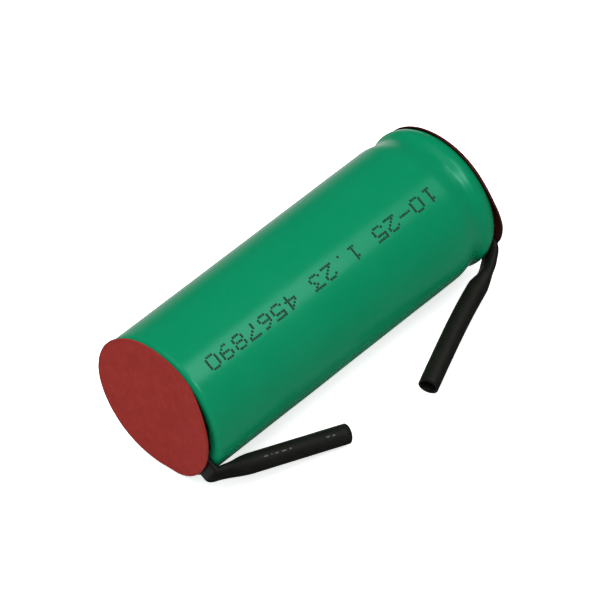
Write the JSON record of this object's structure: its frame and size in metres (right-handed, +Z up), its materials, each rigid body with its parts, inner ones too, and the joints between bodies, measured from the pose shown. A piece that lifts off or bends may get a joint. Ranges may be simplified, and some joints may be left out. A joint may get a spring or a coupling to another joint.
{
  "type": "cylindrical rechargeable battery cell",
  "caption": "Cylindrical rechargeable cell in a green sleeve with red end discs and two black insulated solder leads.",
  "frame": {"origin": "middle of the footprint at the floor, with the cell lying on its side", "axes": "+X along the cell's axis from the negative to the positive end, +Y away from the side that the leads fold along, +Z up"},
  "size_m": [0.045, 0.023, 0.0165],
  "materials": {
    "green_film": "glossy shrink film",
    "red_paper": "matte pressed paper",
    "black_tube": "satin flexible sleeving",
    "nickel_plated_steel": "bright nickel plate",
    "nickel_strip": "plain rolled nickel",
    "separator_fleece": "matte nonwoven",
    "positive_sheet": "matte pasted powder",
    "negative_sheet": "matte pressed powder",
    "insulating_card": "matte",
    "gasket_plastic": "satin",
    "vent_rubber": "matte"
  },
  "bodies": {
    "cell": {"sleeve": "green_film", "can": "nickel_plated_steel", "inner_separator": "separator_fleece", "positive_electrode": "positive_sheet", "outer_separator": "separator_fleece", "negative_electrode": "negative_sheet", "bottom_insulator": "insulating_card", "top_insulator": "insulating_card", "ring_insulator": "insulating_card", "positive_collector": "nickel_strip", "collector_lead": "nickel_strip", "gasket": "gasket_plastic", "cover_plate": "nickel_plated_steel", "positive_cap": "nickel_plated_steel", "negative_end_disc": "red_paper", "positive_end_disc": "red_paper", "negative_tab_foot": "nickel_strip", "positive_tab_foot": "nickel_strip", "negative_tube_root": "black_tube", "positive_tube_root": "black_tube"},
    "negative_lead": {"negative_tube": "black_tube", "negative_tab_leg": "nickel_strip"},
    "positive_lead": {"positive_tube": "black_tube", "positive_tab_leg": "nickel_strip"},
    "vent": {"vent_plug": "vent_rubber"}
  },
  "joints": [
    {"name": "negative_lead_bend", "type": "hinge", "parent": "cell", "child": "negative_lead", "pos_m": [-0.0215, -0.00465, 0.00435], "axis": [0, 0.454, -0.891], "range_deg": [-2, 70]},
    {"name": "positive_lead_bend", "type": "hinge", "parent": "cell", "child": "positive_lead", "pos_m": [0.02126, -0.00405, 0.00409], "axis": [0, -0.5075, 0.8616], "range_deg": [-4, 68]},
    {"name": "vent_lift", "type": "slide", "parent": "cell", "child": "vent", "axis": [1, 0, 0], "range_m": [0, 0.00025], "stiffness_N_per_m": 20000, "springref_m": -0.0002}
  ]
}
